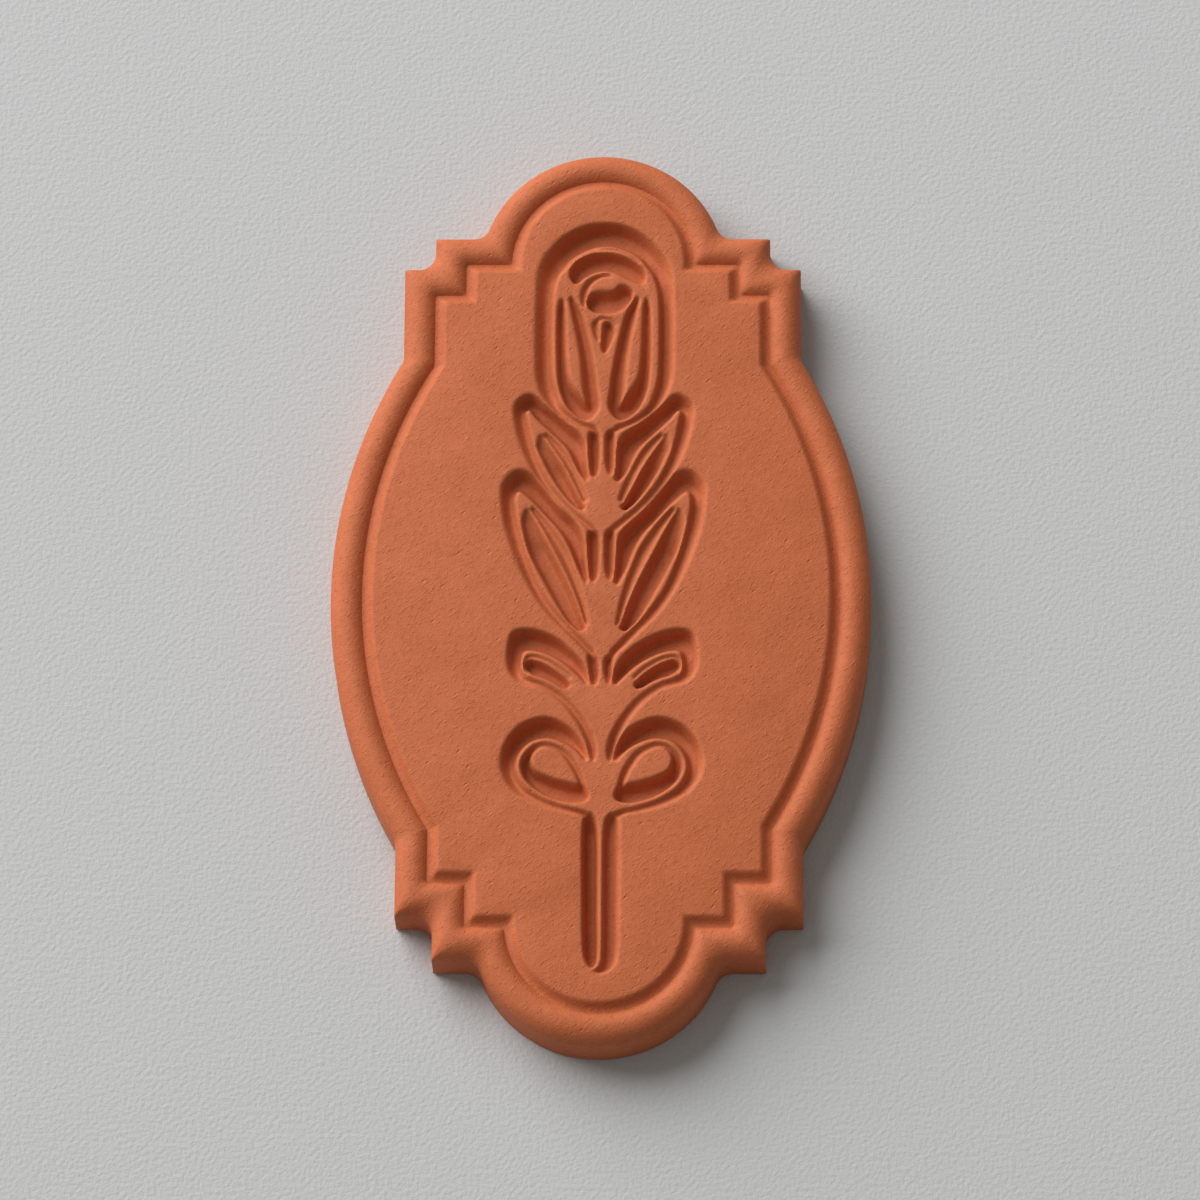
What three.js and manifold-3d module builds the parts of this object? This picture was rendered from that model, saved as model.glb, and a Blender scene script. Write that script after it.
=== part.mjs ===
// A clay plaque: a stepped and bowed tile with a bead moulding round it and a rose pressed into its face.
// Millimetres. The plaque lies on its flat back at z = 0, with its face towards +Z and the bud towards +Y.
import * as THREE from 'three';
import Module from 'manifold-3d';
import { mergeVertices } from 'three/addons/utils/BufferGeometryUtils.js';

// Outline in plan, seen from the front
const plaqueLength = 70;
const bowHalfWidth = 20;
const bowRadius = 37.5;
const bowCentreY = -0.5;
const sideHalfWidth = 14.9;
const crownRadius = 9.2;
const upperShoulderY = 25.75;
const upperStepY = 28.25;
const upperStepHalfWidth = 12.6;
const footRadius = 9.25;
const lowerShoulderY = -25.15;
const lowerStepY = -28.5;
const lowerStepHalfWidth = 12.15;

// Heights above the back
const wallHeight = 3.1;
const beadHeight = 4.5;
const grooveHeight = 4.08;
const fieldHeight = 4.6;

// Places of the moulding, measured in from the outline
const crestInset = 1.38;
const grooveInset = 2.33;
const fieldInset = 3.4;
const backEdgeRound = 0.15;

// How the bead falls to the groove and the field rises from it, as shares of the way across and of the height
const grooveFall = [[0.35, 0.16], [0.65, 0.5], [1, 1]];
const fieldRise = [[0.45, 0.72], [0.7, 0.94], [1, 1]];

// Fillets in the inner corners of the outline, which tighten towards the groove
const outerFillet = 1.33;
const grooveFillet = 0.25;

// The pressed ornament
const ornamentX = 0.15;
const ornamentY = -0.1;
const wallTrim = 0.16;
const ridgeLand = 0.06;
const mostLandShare = 0.22;
const cutterRise = 0.05;
const stepsPerRung = 2;

// How finely the round stretches are cut
const arcSteps = { foot: 9, bow: 22, crown: 9, fillet: 3 };
const beadSteps = 5;

// Edges of the right half of the outline, from the foot up to the crown.
// A level edge knows which way is in along Y, an upright edge whether it meets the bow from below or above.
const outline = [
  { arc: 'foot', x: 0, y: footRadius - plaqueLength / 2, radius: footRadius },
  { level: lowerStepY, inward: 1 },
  { upright: lowerStepHalfWidth },
  { level: lowerShoulderY, inward: 1 },
  { upright: sideHalfWidth, half: -1 },
  { arc: 'bow', x: bowHalfWidth - bowRadius, y: bowCentreY, radius: bowRadius },
  { upright: sideHalfWidth, half: 1 },
  { level: upperShoulderY, inward: -1 },
  { upright: upperStepHalfWidth },
  { level: upperStepY, inward: -1 },
  { arc: 'crown', x: 0, y: plaqueLength / 2 - crownRadius, radius: crownRadius },
];

// The corners between neighbouring edges that point into the clay, and so get a fillet
const filleted = [true, false, true, false, true, true, false, true, false, true];

const levelAt = (edge, inset) => edge.level + edge.inward * inset;
const uprightAt = (edge, inset) => edge.upright - inset;

// Point where two neighbouring edges meet once both have moved in by the inset
function corner(first, second, inset) {
  const level = first.level !== undefined ? first : second.level !== undefined ? second : null;
  const upright = first.upright !== undefined ? first : second.upright !== undefined ? second : null;
  if (level && upright) return [uprightAt(upright, inset), levelAt(level, inset)];
  const arc = first.arc ? first : second;
  const radius = arc.radius - inset;
  if (level) {
    const y = levelAt(level, inset);
    return [arc.x + Math.sqrt(radius ** 2 - (y - arc.y) ** 2), y];
  }
  const x = uprightAt(upright, inset);
  return [x, arc.y + upright.half * Math.sqrt(radius ** 2 - (x - arc.x) ** 2)];
}

// Nearest point to a fillet's centre on an edge that has moved in by the inset
function touch(edge, [x, y], inset) {
  if (edge.level !== undefined) return [x, levelAt(edge, inset)];
  if (edge.upright !== undefined) return [uprightAt(edge, inset), y];
  const reach = (edge.radius - inset) / Math.hypot(x - edge.x, y - edge.y);
  return [edge.x + (x - edge.x) * reach, edge.y + (y - edge.y) * reach];
}

// Points on a circle from one point to another the shorter way round, without the first
function arcPoints([cx, cy], from, to, steps) {
  const start = Math.atan2(from[1] - cy, from[0] - cx);
  const radius = Math.hypot(from[0] - cx, from[1] - cy);
  let turn = Math.atan2(to[1] - cy, to[0] - cx) - start;
  if (turn > Math.PI) turn -= 2 * Math.PI;
  if (turn < -Math.PI) turn += 2 * Math.PI;
  const points = [];
  for (let i = 1; i <= steps; i++) {
    const angle = start + (turn * i) / steps;
    points.push([cx + radius * Math.cos(angle), cy + radius * Math.sin(angle)]);
  }
  return points;
}

// The whole outline moved in by the inset, always with the same number of points
function ring(inset) {
  const tighten = Math.min(inset / grooveInset, 1);
  const fillet = outerFillet + (grooveFillet - outerFillet) * tighten;
  const foot = outline[0];
  const crown = outline[outline.length - 1];
  const half = [[0, foot.y - foot.radius + inset]];
  for (let i = 0; i < outline.length; i++) {
    const edge = outline[i];
    const last = i === outline.length - 1;
    const centre = !last && filleted[i] ? corner(edge, outline[i + 1], inset - fillet) : null;
    let end = last ? [0, crown.y + crown.radius - inset] : null;
    if (!last) end = centre ? touch(edge, centre, inset) : corner(edge, outline[i + 1], inset);
    if (edge.arc) half.push(...arcPoints([edge.x, edge.y], half[half.length - 1], end, arcSteps[edge.arc]));
    else half.push(end);
    if (centre) half.push(...arcPoints(centre, end, touch(outline[i + 1], centre, inset), arcSteps.fillet));
  }
  const mirrored = half.slice(1, -1).reverse().map(([x, y]) => [-x, y]);
  return [...half, ...mirrored];
}

// Section of the moulding from the back edge to the field: wall, bead, groove and the rise to the field
function mouldingSection() {
  const section = [[backEdgeRound, 0], [0, backEdgeRound]];
  for (let i = 0; i <= beadSteps; i++) {
    const angle = (Math.PI / 2) * (i / beadSteps);
    const inset = crestInset * (1 - Math.cos(angle));
    section.push([inset, wallHeight + (beadHeight - wallHeight) * Math.sin(angle)]);
  }
  const between = (from, to, share) => from + (to - from) * share;
  for (const [across, down] of grooveFall) {
    section.push([between(crestInset, grooveInset, across), between(beadHeight, grooveHeight, down)]);
  }
  for (const [across, up] of fieldRise) {
    section.push([between(grooveInset, fieldInset, across), between(grooveHeight, fieldHeight, up)]);
  }
  return section;
}

// Skin through equal rings of [x, y, z] points, joined back to the first ring where the loft is closed
function loft(rings, closed = false) {
  const count = rings[0].length;
  const index = [];
  const joins = closed ? rings.length : rings.length - 1;
  for (let k = 0; k < joins; k++) {
    const [here, there] = [k * count, ((k + 1) % rings.length) * count];
    for (let i = 0; i < count; i++) {
      const next = (i + 1) % count;
      index.push(here + i, here + next, there + next, here + i, there + next, there + i);
    }
  }
  return { positions: rings.flat(2), index, count };
}

function toGeometry(positions, index) {
  const geometry = new THREE.BufferGeometry();
  geometry.setAttribute('position', new THREE.BufferAttribute(new Float32Array(positions), 3));
  geometry.setIndex(index);
  return geometry;
}

const wasm = await Module();
wasm.setup();

function toSolid(geometry) {
  const merged = mergeVertices(geometry, 1e-5);
  const vertProperties = new Float32Array(merged.attributes.position.array);
  const triVerts = new Uint32Array(merged.index.array);
  return new wasm.Manifold(new wasm.Mesh({ numProp: 3, vertProperties, triVerts }));
}

// The plaque before the ornament is pressed: the outline lofted up the moulding section
function blankPlaque() {
  const section = mouldingSection();
  const rings = section.map(([inset, z]) => ring(inset).map(([x, y]) => [x, y, z]));
  const { positions, index, count } = loft(rings);
  const flat = (points) => points.map(([x, y]) => new THREE.Vector2(x, y));
  const capOf = (points) => THREE.ShapeUtils.triangulateShape(flat(points), []);
  const top = (rings.length - 1) * count;
  for (const [a, b, c] of capOf(rings[0])) index.push(c, b, a);
  for (const [a, b, c] of capOf(rings[rings.length - 1])) index.push(top + a, top + b, top + c);
  return toSolid(toGeometry(positions, index));
}

// A pressed channel between two edges of the face. Each rung is [outer edge x, y, inner edge x, y, share of
// the way across where the floor starts, share where it ends, depth], measured from the ornament's axis.
// Smooth curves run through the rungs. The walls are straight, and leave a land beside each edge so that
// neighbouring channels have a ridge between them. A channel that runs round a lump is closed.
function channelCutter(rungs, side, closed = false) {
  const curveOf = (points) => new THREE.CatmullRomCurve3(points, closed, 'centripetal');
  const outer = curveOf(rungs.map(([x, y]) => new THREE.Vector3(x, y, 0)));
  const inner = curveOf(rungs.map((rung) => new THREE.Vector3(rung[2], rung[3], 0)));
  const floor = curveOf(rungs.map((rung) => new THREE.Vector3(rung[4], rung[5], rung[6])));
  const spans = closed ? rungs.length : rungs.length - 1;
  const stations = spans * stepsPerRung;
  const rings = [];
  for (let i = 0; i < stations + (closed ? 0 : 1); i++) {
    const [one, other, low] = [outer, inner, floor].map((curve) => curve.getPoint(i / stations));
    const least = Math.min(ridgeLand / one.distanceTo(other), mostLandShare);
    const [starts, ends] = [low.x, 1 - low.y];
    const across = [
      Math.max(least, wallTrim * starts), (1 - wallTrim) * starts,
      1 - (1 - wallTrim) * ends, 1 - Math.max(least, wallTrim * ends),
    ];
    const floorZ = fieldHeight - low.z;
    const topZ = fieldHeight + cutterRise;
    rings.push(across.map((share, k) => {
      const point = one.clone().lerp(other, share);
      return [ornamentX + side * point.x, ornamentY + point.y, k === 0 || k === 3 ? topZ : floorZ];
    }));
  }
  const { positions, index, count } = loft(rings, closed);
  const last = (rings.length - 1) * count;
  if (!closed) index.push(0, 2, 1, 0, 3, 2, last, last + 1, last + 2, last, last + 2, last + 3);
  const geometry = toGeometry(positions, index);
  const solid = toSolid(geometry);
  if (solid.volume() > 0) return solid;
  for (let i = 0; i < index.length; i += 3) [index[i], index[i + 1]] = [index[i + 1], index[i]];
  return toSolid(toGeometry(positions, index));
}

// Channel round the bud, from the top of the arch down to the end of the slot beside the stem
const budChannel = [
  [-0.1, 29.25, -0.1, 27.15, 0.3, 0.62, 1.2], [1.0, 29.15, 0.8, 27.02, 0.3, 0.62, 1.2],
  [2.05, 28.83, 1.6, 26.7, 0.34, 0.62, 1.2], [3.1, 28.22, 2.4, 26.2, 0.4, 0.64, 1.2],
  [4.12, 27.25, 3.0, 25.5, 0.5, 0.68, 1.15], [4.8, 26.3, 3.45, 24.85, 0.58, 0.72, 1.05],
  [5.2, 25.15, 3.75, 24.0, 0.64, 0.76, 0.95], [5.35, 24.0, 3.86, 23.0, 0.68, 0.78, 0.9],
  [5.35, 17.3, 3.86, 17.2, 0.68, 0.78, 0.9], [5.12, 15.95, 3.72, 16.1, 0.64, 0.76, 0.85],
  [4.6, 14.85, 3.5, 15.2, 0.58, 0.72, 0.8], [3.75, 13.9, 3.2, 14.4, 0.5, 0.66, 0.65],
  [2.65, 13.08, 2.2, 13.5, 0.42, 0.6, 0.5], [1.7, 12.65, 1.3, 13.02, 0.4, 0.6, 0.5],
  [1.3, 12.25, 0.5, 12.7, 0.4, 0.6, 0.6], [1.18, 11.7, 0.1, 11.9, 0.36, 0.6, 0.75],
  [1.08, 10.4, 0.08, 10.4, 0.36, 0.6, 0.75], [0.92, 9.4, 0.14, 9.4, 0.38, 0.6, 0.6],
  [0.7, 8.85, 0.38, 8.85, 0.4, 0.6, 0.3],
];

// Channels round the four leaves, each from its inner tip over the leaf and down into the slot below.
// The last one runs on into the slot beside the foot of the stem.
const leafChannels = [
  [
    [0.95, 8.5, 1.2, 8.3, 0.4, 0.6, 0.3], [1.15, 9.6, 1.75, 8.85, 0.35, 0.55, 0.8],
    [1.38, 11.8, 2.8, 10.8, 0.35, 0.52, 1.15], [2.7, 13.1, 3.8, 12.0, 0.35, 0.54, 1.2],
    [4.15, 14.45, 5.0, 13.25, 0.4, 0.58, 1.15], [5.5, 15.45, 5.6, 14.0, 0.48, 0.64, 1.05],
    [6.7, 14.7, 5.72, 13.85, 0.58, 0.7, 0.9], [6.75, 13.0, 5.55, 12.9, 0.64, 0.76, 0.8],
    [6.2, 10.95, 5.2, 11.3, 0.64, 0.78, 0.7], [5.3, 9.1, 4.52, 9.45, 0.6, 0.76, 0.6],
    [4.18, 7.35, 3.5, 7.8, 0.56, 0.72, 0.55], [2.68, 5.82, 2.25, 6.35, 0.48, 0.64, 0.5],
    [1.5, 4.75, 1.0, 5.2, 0.4, 0.6, 0.5], [1.25, 3.95, 0.3, 4.4, 0.4, 0.6, 0.65],
    [1.18, 2.9, 0.08, 3.2, 0.36, 0.6, 0.75], [1.0, 1.6, 0.08, 1.7, 0.38, 0.6, 0.7],
    [0.7, 0.6, 0.36, 0.6, 0.4, 0.6, 0.3],
  ],
  [
    [0.95, 0.45, 1.3, 0.1, 0.4, 0.6, 0.3], [1.2, 2.6, 2.05, 1.9, 0.4, 0.6, 0.85],
    [1.5, 4.75, 3.0, 3.65, 0.4, 0.62, 1.2], [2.95, 6.2, 3.98, 5.15, 0.4, 0.64, 1.2],
    [4.4, 8.05, 5.1, 6.45, 0.4, 0.64, 1.2], [5.5, 9.27, 6.15, 7.4, 0.44, 0.64, 1.2],
    [6.5, 9.42, 6.3, 7.45, 0.5, 0.66, 1.15], [7.58, 8.35, 6.45, 7.1, 0.58, 0.72, 1.0],
    [7.66, 6.4, 6.42, 6.0, 0.64, 0.78, 0.85], [7.2, 3.95, 6.02, 4.15, 0.66, 0.78, 0.75],
    [6.35, 1.68, 5.33, 2.05, 0.66, 0.78, 0.7], [5.32, -0.43, 4.5, 0.05, 0.64, 0.78, 0.65],
    [4.0, -2.33, 3.45, -1.6, 0.6, 0.76, 0.6], [2.62, -3.68, 2.25, -3.1, 0.54, 0.7, 0.5],
    [1.7, -4.68, 1.3, -4.2, 0.46, 0.64, 0.5], [1.3, -5.35, 0.45, -5.0, 0.4, 0.6, 0.6],
    [1.05, -6.2, 0.1, -6.05, 0.36, 0.6, 0.7], [0.88, -7.1, 0.14, -7.1, 0.38, 0.6, 0.65],
    [0.68, -7.65, 0.42, -7.65, 0.4, 0.6, 0.3],
  ],
  [
    [0.9, -7.6, 1.3, -7.75, 0.4, 0.6, 0.3], [1.05, -6.2, 2.1, -6.9, 0.35, 0.58, 1.0],
    [2.0, -4.9, 3.0, -6.0, 0.35, 0.6, 1.2], [3.7, -3.7, 4.15, -5.35, 0.35, 0.62, 1.2],
    [5.6, -3.15, 5.25, -5.1, 0.35, 0.62, 1.2], [6.65, -3.4, 5.65, -5.2, 0.42, 0.64, 1.2],
    [7.05, -4.6, 5.82, -5.65, 0.5, 0.7, 1.05], [7.02, -6.35, 5.82, -6.3, 0.58, 0.74, 0.85],
    [6.3, -7.35, 5.3, -6.9, 0.6, 0.76, 0.5], [4.5, -8.05, 4.0, -7.5, 0.6, 0.74, 0.35],
    [3.1, -9.1, 2.5, -8.5, 0.6, 0.72, 0.38], [2.1, -10.3, 1.35, -9.75, 0.56, 0.7, 0.42],
    [1.55, -11.25, 0.8, -10.8, 0.5, 0.66, 0.5], [1.25, -11.9, 0.4, -11.6, 0.42, 0.62, 0.6],
    [1.02, -12.6, 0.14, -12.5, 0.38, 0.6, 0.7], [0.86, -13.15, 0.2, -13.15, 0.4, 0.6, 0.6],
    [0.7, -13.5, 0.46, -13.5, 0.4, 0.6, 0.3],
  ],
  [
    [0.95, -13.45, 1.25, -13.75, 0.4, 0.6, 0.3], [1.12, -12.3, 1.9, -12.95, 0.35, 0.58, 0.9],
    [2.05, -10.85, 2.75, -12.3, 0.35, 0.6, 1.2], [4.1, -10.05, 3.95, -11.9, 0.35, 0.62, 1.2],
    [6.0, -10.65, 5.1, -12.15, 0.38, 0.64, 1.2], [7.25, -12.25, 5.97, -13.05, 0.5, 0.7, 1.1],
    [7.5, -14.1, 6.17, -14.2, 0.64, 0.76, 0.85], [6.6, -15.82, 5.5, -15.5, 0.66, 0.78, 0.65],
    [4.65, -16.95, 4.1, -16.35, 0.62, 0.76, 0.45], [2.65, -17.5, 2.4, -16.95, 0.58, 0.72, 0.4],
    [1.85, -17.7, 1.3, -17.15, 0.5, 0.7, 0.5], [1.55, -18.2, 0.7, -17.6, 0.44, 0.66, 0.7],
    [1.45, -19.1, 0.35, -18.9, 0.42, 0.7, 0.95], [1.32, -23, 0.3, -23, 0.42, 0.74, 1.05],
    [1.18, -28, 0.3, -28, 0.42, 0.74, 1.0], [0.92, -28.95, 0.25, -28.8, 0.42, 0.7, 0.8],
    [0.5, -29.35, 0.15, -29.3, 0.4, 0.6, 0.3],
  ],
];

// The low crest of the stem's foot, which stands between the two slots and ends short of their rounded end
const stemCrest = [
  [-0.5, -18.5, 0.5, -18.5, 0.3, 0.7, 0.15], [-0.5, -19.8, 0.5, -19.8, 0.3, 0.7, 0.4],
  [-0.5, -28.6, 0.5, -28.6, 0.3, 0.7, 0.5], [-0.35, -29.2, 0.35, -29.2, 0.3, 0.7, 0.5],
];

// The same floor shares and depth on every rung
const even = (starts, ends, depth, rungs) => rungs.map((rung) => [...rung, starts, ends, depth]);

// Hollows in the first two leaves, on both sides of a midrib
const leafHollows = [
  even(0.35, 0.65, 0.35, [
    [4.25, 12.2, 4.42, 12.0], [3.3, 11.45, 3.98, 11.35], [2.1, 9.5, 2.85, 9.7], [1.22, 7.4, 1.78, 7.75],
    [1.05, 6.7, 1.35, 6.88],
  ]),
  even(0.35, 0.65, 0.5, [
    [4.6, 12.05, 4.78, 11.95], [4.05, 11.45, 4.85, 11.2], [2.85, 9.75, 4.3, 9.45], [1.95, 8.1, 3.25, 7.75],
    [1.3, 6.75, 1.88, 6.45], [1.12, 6.48, 1.38, 6.28],
  ]),
  even(0.35, 0.65, 0.35, [
    [5.2, 6.1, 5.37, 5.95], [4.27, 5.22, 4.78, 5.1], [2.95, 3.2, 3.75, 3.15], [1.95, 1.0, 2.8, 1.1],
    [1.25, -1.2, 1.92, -0.95], [0.95, -3.05, 1.27, -2.85],
  ]),
  even(0.35, 0.65, 0.5, [
    [5.52, 6.0, 5.77, 5.9], [5.08, 5.1, 6.0, 4.95], [4.1, 3.1, 5.5, 2.85], [3.15, 1.0, 4.65, 0.7],
    [2.25, -0.95, 3.5, -1.3], [1.52, -2.5, 2.18, -2.75], [1.28, -3.0, 1.62, -3.28],
  ]),
];

// Hollow in the third leaf, and the hollow round the lump in the fourth
const thirdLeafHollow = even(0.3, 0.65, 0.75, [
  [2.4, -7.55, 2.55, -7.88], [2.72, -7.1, 3.0, -7.78], [3.38, -6.5, 3.67, -7.4], [4.1, -6.0, 4.38, -7.1],
  [4.8, -5.68, 5.08, -6.85], [5.3, -5.6, 5.52, -6.42], [5.52, -5.85, 5.6, -6.12],
]);
const fourthLeafHollow = [
  [1.2, -15.2, 1.65, -15.05, 0.4, 0.6, 0.35], [1.55, -14.2, 2.0, -14.25, 0.4, 0.6, 0.35],
  [2.62, -12.57, 2.98, -12.88, 0.4, 0.6, 0.3], [4.3, -12.05, 4.3, -12.4, 0.4, 0.6, 0.3],
  [5.25, -12.5, 4.95, -12.8, 0.4, 0.6, 0.35], [5.95, -13.6, 5.15, -13.45, 0.38, 0.62, 0.6],
  [5.65, -14.8, 4.8, -14.15, 0.3, 0.56, 0.8], [4.0, -16.15, 3.5, -14.7, 0.26, 0.56, 0.85],
  [1.9, -16.7, 2.1, -15.1, 0.26, 0.56, 0.85], [0.95, -16.4, 1.7, -15.2, 0.3, 0.56, 0.75],
];

// Inside the bud, drawn from the left to the right or from the top down: the crescent, the swirl round the
// pit, the pit, the drop on both sides of its rib, and the hollow round each petal
const crescent = even(0.3, 0.6, 1.05, [
  [-2.5, 24.25, -2.3, 24.15], [-2.8, 24.75, -1.9, 24.33], [-2.72, 25.33, -1.57, 24.6],
  [-2.28, 25.97, -1.17, 24.85], [-1.52, 26.48, -0.76, 25.04], [-0.7, 26.74, -0.32, 25.15],
  [0.1, 26.77, 0.1, 25.19], [0.92, 26.66, 0.56, 25.1], [1.8, 26.37, 1.1, 24.88],
  [2.5, 25.95, 1.6, 24.62], [3.02, 25.43, 2.02, 24.4], [3.2, 24.85, 2.4, 24.22], [3.05, 24.32, 2.75, 24.15],
]);
const swirl = even(0.4, 0.6, 0.3, [
  [0.5, 24.95, 0.48, 24.8], [0.0, 25.0, 0.02, 24.8], [-0.57, 24.89, -0.43, 24.62],
  [-1.14, 24.58, -0.88, 24.27], [-1.6, 24.05, -1.15, 23.83], [-1.83, 23.45, -1.25, 23.4],
  [-1.78, 22.82, -1.38, 22.85], [-1.57, 22.35, -1.43, 22.4],
]);
const pit = even(0.3, 0.72, 1.05, [
  [-1.22, 22.9, -1.22, 22.55], [-1.1, 23.35, -1.08, 22.15], [-0.76, 23.66, -0.7, 21.87],
  [-0.2, 23.78, -0.15, 21.79], [0.45, 23.76, 0.47, 21.79], [0.8, 23.9, 1.02, 21.9],
  [1.12, 24.26, 1.56, 22.24], [1.45, 24.22, 1.92, 22.76], [1.82, 23.9, 2.05, 23.22], [2.0, 23.62, 2.05, 23.42],
]);
const dropLeft = even(0.4, 0.6, 0.4, [
  [-0.5, 21.35, -0.38, 21.22], [-0.9, 21.07, -0.4, 20.95], [-0.94, 20.7, -0.36, 20.6],
  [-0.78, 20.2, -0.34, 20.12], [-0.52, 19.65, -0.32, 19.6],
]);
const dropRight = even(0.3, 0.65, 0.7, [
  [0.1, 21.12, 0.42, 21.14], [-0.1, 20.87, 0.8, 20.82], [-0.17, 20.4, 0.9, 20.35], [-0.22, 19.9, 0.75, 19.85],
  [-0.22, 19.4, 0.52, 19.35], [-0.17, 19.0, 0.28, 19.0], [-0.04, 18.7, 0.12, 18.68],
]);
const petalHollow = [
  [2.4, 23.15, 2.64, 23.05, 0.4, 0.6, 0.3], [1.7, 22.0, 2.5, 21.9, 0.35, 0.6, 0.5],
  [1.15, 20.0, 2.0, 19.9, 0.35, 0.6, 0.55], [0.75, 18.0, 1.55, 17.95, 0.35, 0.6, 0.55],
  [0.47, 16.0, 1.25, 15.9, 0.35, 0.6, 0.6], [0.38, 14.1, 1.1, 14.45, 0.35, 0.6, 0.65],
  [1.2, 13.25, 1.5, 15.1, 0.25, 0.5, 0.8], [2.4, 13.95, 2.2, 15.85, 0.25, 0.5, 0.8],
  [3.3, 15.3, 2.7, 16.65, 0.3, 0.55, 0.8], [3.68, 17.2, 2.82, 17.95, 0.3, 0.6, 0.75],
  [3.68, 22.2, 2.88, 22.2, 0.3, 0.6, 0.65], [3.42, 23.05, 3.05, 22.95, 0.4, 0.6, 0.3],
];

const mirroredChannels = [budChannel, ...leafChannels, ...leafHollows, thirdLeafHollow, petalHollow];
const singleChannels = [stemCrest, crescent, swirl, pit, dropLeft, dropRight];

function pressedPlaque() {
  let plaque = blankPlaque();
  for (const rungs of mirroredChannels) {
    for (const side of [1, -1]) plaque = plaque.subtract(channelCutter(rungs, side));
  }
  for (const side of [1, -1]) plaque = plaque.subtract(channelCutter(fourthLeafHollow, side, true));
  for (const rungs of singleChannels) plaque = plaque.subtract(channelCutter(rungs, 1));
  const mesh = plaque.getMesh();
  const geometry = toGeometry(mesh.vertProperties, Array.from(mesh.triVerts)).toNonIndexed();
  geometry.computeVertexNormals();
  return geometry;
}

const clay = new THREE.MeshStandardMaterial({ color: 0xbc6747, roughness: 0.85, metalness: 0 });
const plaque = new THREE.Mesh(pressedPlaque(), clay);
plaque.name = 'clay_plaque';

const group = new THREE.Group();
group.add(plaque);
export default group;
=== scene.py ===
# A pressed clay plaque on pale paper, lit softly from the upper left and seen from a little past its foot.
import math
import bpy
import numpy as np
from mathutils import Matrix, Vector
from mathutils.geometry import delaunay_2d_cdt


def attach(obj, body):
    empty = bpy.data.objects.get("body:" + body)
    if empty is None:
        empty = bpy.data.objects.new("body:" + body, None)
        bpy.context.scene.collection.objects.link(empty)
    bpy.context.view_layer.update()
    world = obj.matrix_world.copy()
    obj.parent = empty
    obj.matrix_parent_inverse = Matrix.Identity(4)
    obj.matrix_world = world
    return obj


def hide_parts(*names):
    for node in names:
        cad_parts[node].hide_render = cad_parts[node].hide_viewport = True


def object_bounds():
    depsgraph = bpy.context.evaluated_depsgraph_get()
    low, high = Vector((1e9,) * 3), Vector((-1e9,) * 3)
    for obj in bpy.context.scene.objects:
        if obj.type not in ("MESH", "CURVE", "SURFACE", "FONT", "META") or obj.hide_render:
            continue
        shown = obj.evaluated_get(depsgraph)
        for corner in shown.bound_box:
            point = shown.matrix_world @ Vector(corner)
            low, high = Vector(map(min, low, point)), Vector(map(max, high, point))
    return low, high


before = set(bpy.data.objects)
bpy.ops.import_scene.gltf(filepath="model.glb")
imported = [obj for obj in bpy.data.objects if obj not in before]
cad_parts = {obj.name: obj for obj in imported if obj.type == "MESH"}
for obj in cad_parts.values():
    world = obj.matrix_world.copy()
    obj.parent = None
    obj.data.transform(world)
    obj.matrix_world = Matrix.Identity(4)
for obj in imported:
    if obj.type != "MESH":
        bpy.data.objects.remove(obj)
cad_low, cad_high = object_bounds()
MM = 0.001

# Outline in plan, in millimetres
LENGTH = (cad_high.y - cad_low.y) / MM
BOW_HALF_WIDTH = cad_high.x / MM
BOW_RADIUS = 37.5
BOW_CENTRE_Y = -0.5
SIDE_HALF_WIDTH = 14.9
CROWN_RADIUS = 9.2
UPPER_SHOULDER_Y = 25.75
UPPER_STEP_Y = 28.25
UPPER_STEP_HALF_WIDTH = 12.6
FOOT_RADIUS = 9.25
LOWER_SHOULDER_Y = -25.15
LOWER_STEP_Y = -28.5
LOWER_STEP_HALF_WIDTH = 12.15

# Heights of the moulding above the back, and its places in from the outline
FIELD_HEIGHT = cad_high.z / MM
WALL_HEIGHT = 3.1
BEAD_HEIGHT = 4.5
CREST_INSET = 1.38
GROOVE_INSET = 2.36
FIELD_INSET = 3.3
FALL_ANGLE = 54
BACK_EDGE_ROUND = 0.15
BACK_EDGE_MIDDLE = 0.3 * BACK_EDGE_ROUND
OUTER_FILLET = 1.33
GROOVE_FILLET = 0.25
CORNER_ROUND = 0.1
CREST_CORNER_ROUND = 0.75
GROOVE_CORNER_ROUND = 0.25

# Shares of the way in and of the way up, from the groove to the field
FIELD_RISE = [
    (0.12, 0.02), (0.24, 0.08), (0.38, 0.22), (0.52, 0.45), (0.64, 0.68), (0.76, 0.86), (0.88, 0.96), (1, 1),
]

# How finely the clay is modelled
OUTLINE_SPACING = 0.5
FILLET_STEPS = 6
CORNER_STEPS = 6
WALL_SHARES = (0.35, 0.7)
BEAD_STEPS = 10
FALL_STEPS = 7
CELL = 0.084
CELLS_ROUND_A_CHANNEL = 2
SHARP_ANGLE = 50

# The pressed ornament and the box that holds it
ORNAMENT_X = 0.15
ORNAMENT_Y = -0.1
ORNAMENT_HALF_WIDTH = 8.6
ORNAMENT_FOOT = -30.6
ORNAMENT_TOP = 30.4
LEFT_TIP_GAP = 0.32
BUD_DRIFT = 0.14
STAMP_STEP = 0.06
LEAST_STAMP_ROWS = 2
LEAST_STAMP_COLUMNS = 6
LIP_SOFTENING = 3

# Unevenness left by the hand, which keeps clear of the back
UNEVENNESS = 0.025
UNEVENNESS_SEED = 4.0
FLAT_BACK_HEIGHT = 0.5

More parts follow.
